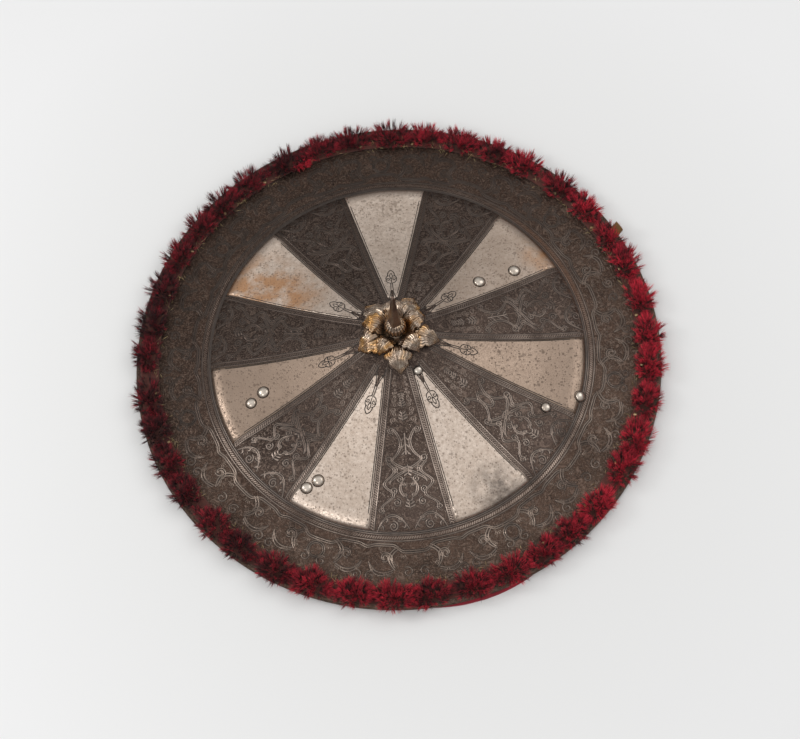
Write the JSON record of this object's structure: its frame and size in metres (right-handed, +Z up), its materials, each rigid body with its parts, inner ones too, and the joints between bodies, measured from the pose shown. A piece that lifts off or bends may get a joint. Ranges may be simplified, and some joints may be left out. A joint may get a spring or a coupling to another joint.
{
  "type": "rondache shield",
  "caption": "Round dished steel shield with etched bands, a gilt leaf rosette and square spike at its middle, a crimson fringe nailed round the turned edge, and two leather arm straps behind.",
  "frame": {"origin": "centre of the rim, on the surface that the shield lies on", "axes": "+Z up along the spike, out of the shield's face; +X towards the right of the front view, where the arm strap is"},
  "size_m": [0.5808, 0.5808, 0.153],
  "materials": {
    "etched_steel": "dark etched bands and rubbed plain panels with pits and rust stains",
    "spike_steel": "dark polished with rubbed corners",
    "gilt_brass": "worn gilding over brass, dark in the hollows",
    "rivet_steel": "bright domed heads",
    "nail_brass": "small dull heads",
    "fringe_wool": "crimson cut-pile fringe, worn thin in places",
    "fringe_braid": "red-brown woven braid with straw-coloured thread",
    "lining_cloth": "crimson cloth, frayed where it shows past the edge",
    "strap_leather": "old brown leather, stitched along its edges"
  },
  "bodies": {
    "root": {"arm_strap": "strap_leather", "boss_rivet": "rivet_steel", "edge_fringe": "fringe_wool", "edge_nail_01": "nail_brass", "edge_nail_02": "nail_brass", "edge_nail_03": "nail_brass", "edge_nail_04": "nail_brass", "edge_nail_05": "nail_brass", "edge_nail_06": "nail_brass", "edge_nail_07": "nail_brass", "edge_nail_08": "nail_brass", "edge_nail_09": "nail_brass", "edge_nail_10": "nail_brass", "edge_nail_11": "nail_brass", "edge_nail_12": "nail_brass", "edge_nail_13": "nail_brass", "edge_nail_14": "nail_brass", "edge_nail_15": "nail_brass", "edge_nail_16": "nail_brass", "edge_nail_17": "nail_brass", "edge_nail_18": "nail_brass", "edge_nail_19": "nail_brass", "edge_nail_20": "nail_brass", "edge_nail_21": "nail_brass", "edge_nail_22": "nail_brass", "edge_nail_23": "nail_brass", "edge_nail_24": "nail_brass", "edge_nail_25": "nail_brass", "edge_nail_26": "nail_brass", "edge_nail_27": "nail_brass", "edge_nail_28": "nail_brass", "fringe_braid": "fringe_braid", "gadrooned_bulb": "gilt_brass", "hand_strap": "strap_leather", "inner_leaves": "gilt_brass", "lining_band": "lining_cloth", "outer_leaves": "gilt_brass", "spike": "spike_steel", "steel_plate": "etched_steel", "strap_rivet_1": "rivet_steel", "strap_rivet_2": "rivet_steel", "strap_rivet_3": "rivet_steel", "strap_rivet_4": "rivet_steel", "strap_rivet_5": "rivet_steel", "strap_rivet_6": "rivet_steel", "strap_rivet_7": "rivet_steel", "strap_rivet_8": "rivet_steel"}
  },
  "joints": []
}
